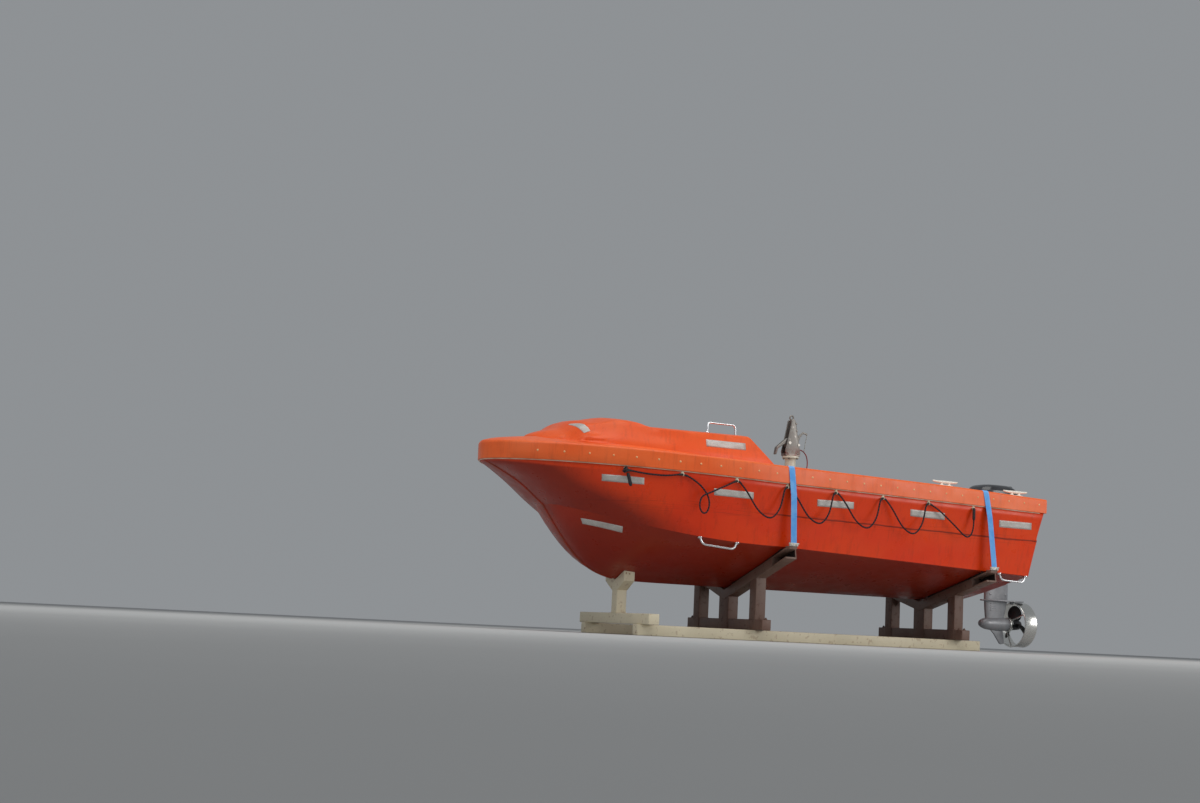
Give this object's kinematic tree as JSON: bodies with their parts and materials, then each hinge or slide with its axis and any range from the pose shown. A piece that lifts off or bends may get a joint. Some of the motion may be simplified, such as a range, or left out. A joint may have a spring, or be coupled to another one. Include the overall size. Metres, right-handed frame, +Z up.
{
  "type": "rescue boat on a cradle",
  "caption": "Open rigid rescue boat with a low bow cuddy, release hook, grab lines and a steerable, tilting outboard in a ring guard, lashed on a steel cradle.",
  "frame": {"origin": "on the floor under the cradle, on the boat's centre plane, halfway along the hull", "axes": "+X to the bow, +Y to port, +Z up"},
  "size_m": [5.087, 1.888, 1.808],
  "materials": {
    "hull_orange": "weathered gelcoat",
    "deck_orange": "gelcoat, slightly faded",
    "liner": "pale gelcoat with a non-slip floor",
    "stainless": "polished",
    "hook_steel": "zinc-grey forging, rubbed",
    "rope": "laid black rope",
    "webbing": "woven blue polyester webbing",
    "cradle_paint": "brown-grey paint",
    "cream_paint": "cream gloss paint",
    "rubber": "ribbed",
    "cushion": "marine vinyl",
    "motor_grey": "satin",
    "motor_black": "gloss",
    "cleat_white": "gloss"
  },
  "bodies": {
    "boat_and_cradle": {"hull": "hull_orange", "deck_moulding": "deck_orange", "cuddy_shell": "deck_orange", "locker_bulkhead": "liner", "helm_console": "liner", "helm_seat": "liner", "helm_cushion": "cushion", "aft_bench": "liner", "lifting_post": "liner", "hook_body": "hook_steel", "release_lever": "hook_steel", "base_tie": "cream_paint", "bow_rest": "cream_paint", "motor_clamp": "motor_grey", "roof_rail_port": "stainless", "grab_line_port": "rope", "base_rail_port": "cream_paint", "bilge_rail_fore_port": "stainless", "strap_fore_port": "webbing", "cradle_pad_fore_port": "rubber", "bilge_rail_aft_port": "stainless", "strap_aft_port": "webbing", "cradle_pad_aft_port": "rubber", "cleat_mid_port": "cleat_white", "cleat_aft_port": "cleat_white", "roof_rail_starboard": "stainless", "grab_line_starboard": "rope", "base_rail_starboard": "cream_paint", "bilge_rail_fore_starboard": "stainless", "strap_fore_starboard": "webbing", "cradle_pad_fore_starboard": "rubber", "bilge_rail_aft_starboard": "stainless", "strap_aft_starboard": "webbing", "cradle_pad_aft_starboard": "rubber", "cleat_mid_starboard": "cleat_white", "cleat_aft_starboard": "cleat_white", "cradle_frame_fore": "cradle_paint", "cradle_frame_aft": "cradle_paint"},
    "motor_tilt_bracket": {"motor_swivel": "motor_grey"},
    "motor": {"motor_leg": "motor_grey", "motor_cowl": "motor_black", "prop_guard": "stainless"},
    "propeller_shaft": {"propeller": "stainless"},
    "hatch": {"cuddy_hatch": "deck_orange"},
    "tongue": {"hook_tongue": "hook_steel"},
    "helm_wheel": {"steering_wheel": "motor_black"}
  },
  "joints": [
    {"name": "outboard_tilt", "type": "hinge", "parent": "boat_and_cradle", "child": "motor_tilt_bracket", "pos_m": [-2.318, 0, 1], "axis": [0, 1, 0], "range_deg": [0, 50]},
    {"name": "outboard_steer", "type": "hinge", "parent": "motor_tilt_bracket", "child": "motor", "pos_m": [-2.378, 0, 0.9], "axis": [0, 0, 1], "range_deg": [-30, 30]},
    {"name": "propeller_spin", "type": "hinge", "parent": "motor", "child": "propeller_shaft", "pos_m": [-2.74, 0, 0.234], "axis": [1, 0, 0], "continuous": true},
    {"name": "wheel_turn", "type": "hinge", "parent": "boat_and_cradle", "child": "helm_wheel", "pos_m": [-0.372, -0.37, 1.296], "axis": [-0.866, 0, 0.5], "range_deg": [-360, 360]},
    {"name": "hatch_hinge", "type": "hinge", "parent": "boat_and_cradle", "child": "hatch", "pos_m": [0.37521, 0, 1.52142], "axis": [0, 1, 0], "range_deg": [0, 100]},
    {"name": "hook_tongue_hinge", "type": "hinge", "parent": "boat_and_cradle", "child": "tongue", "pos_m": [-0.377, 0, 1.579], "axis": [0, 1, 0], "range_deg": [-80, 0]}
  ],
  "couplings": [
    {"joint": "wheel_turn", "follows": "outboard_steer", "ratio": 12}
  ]
}
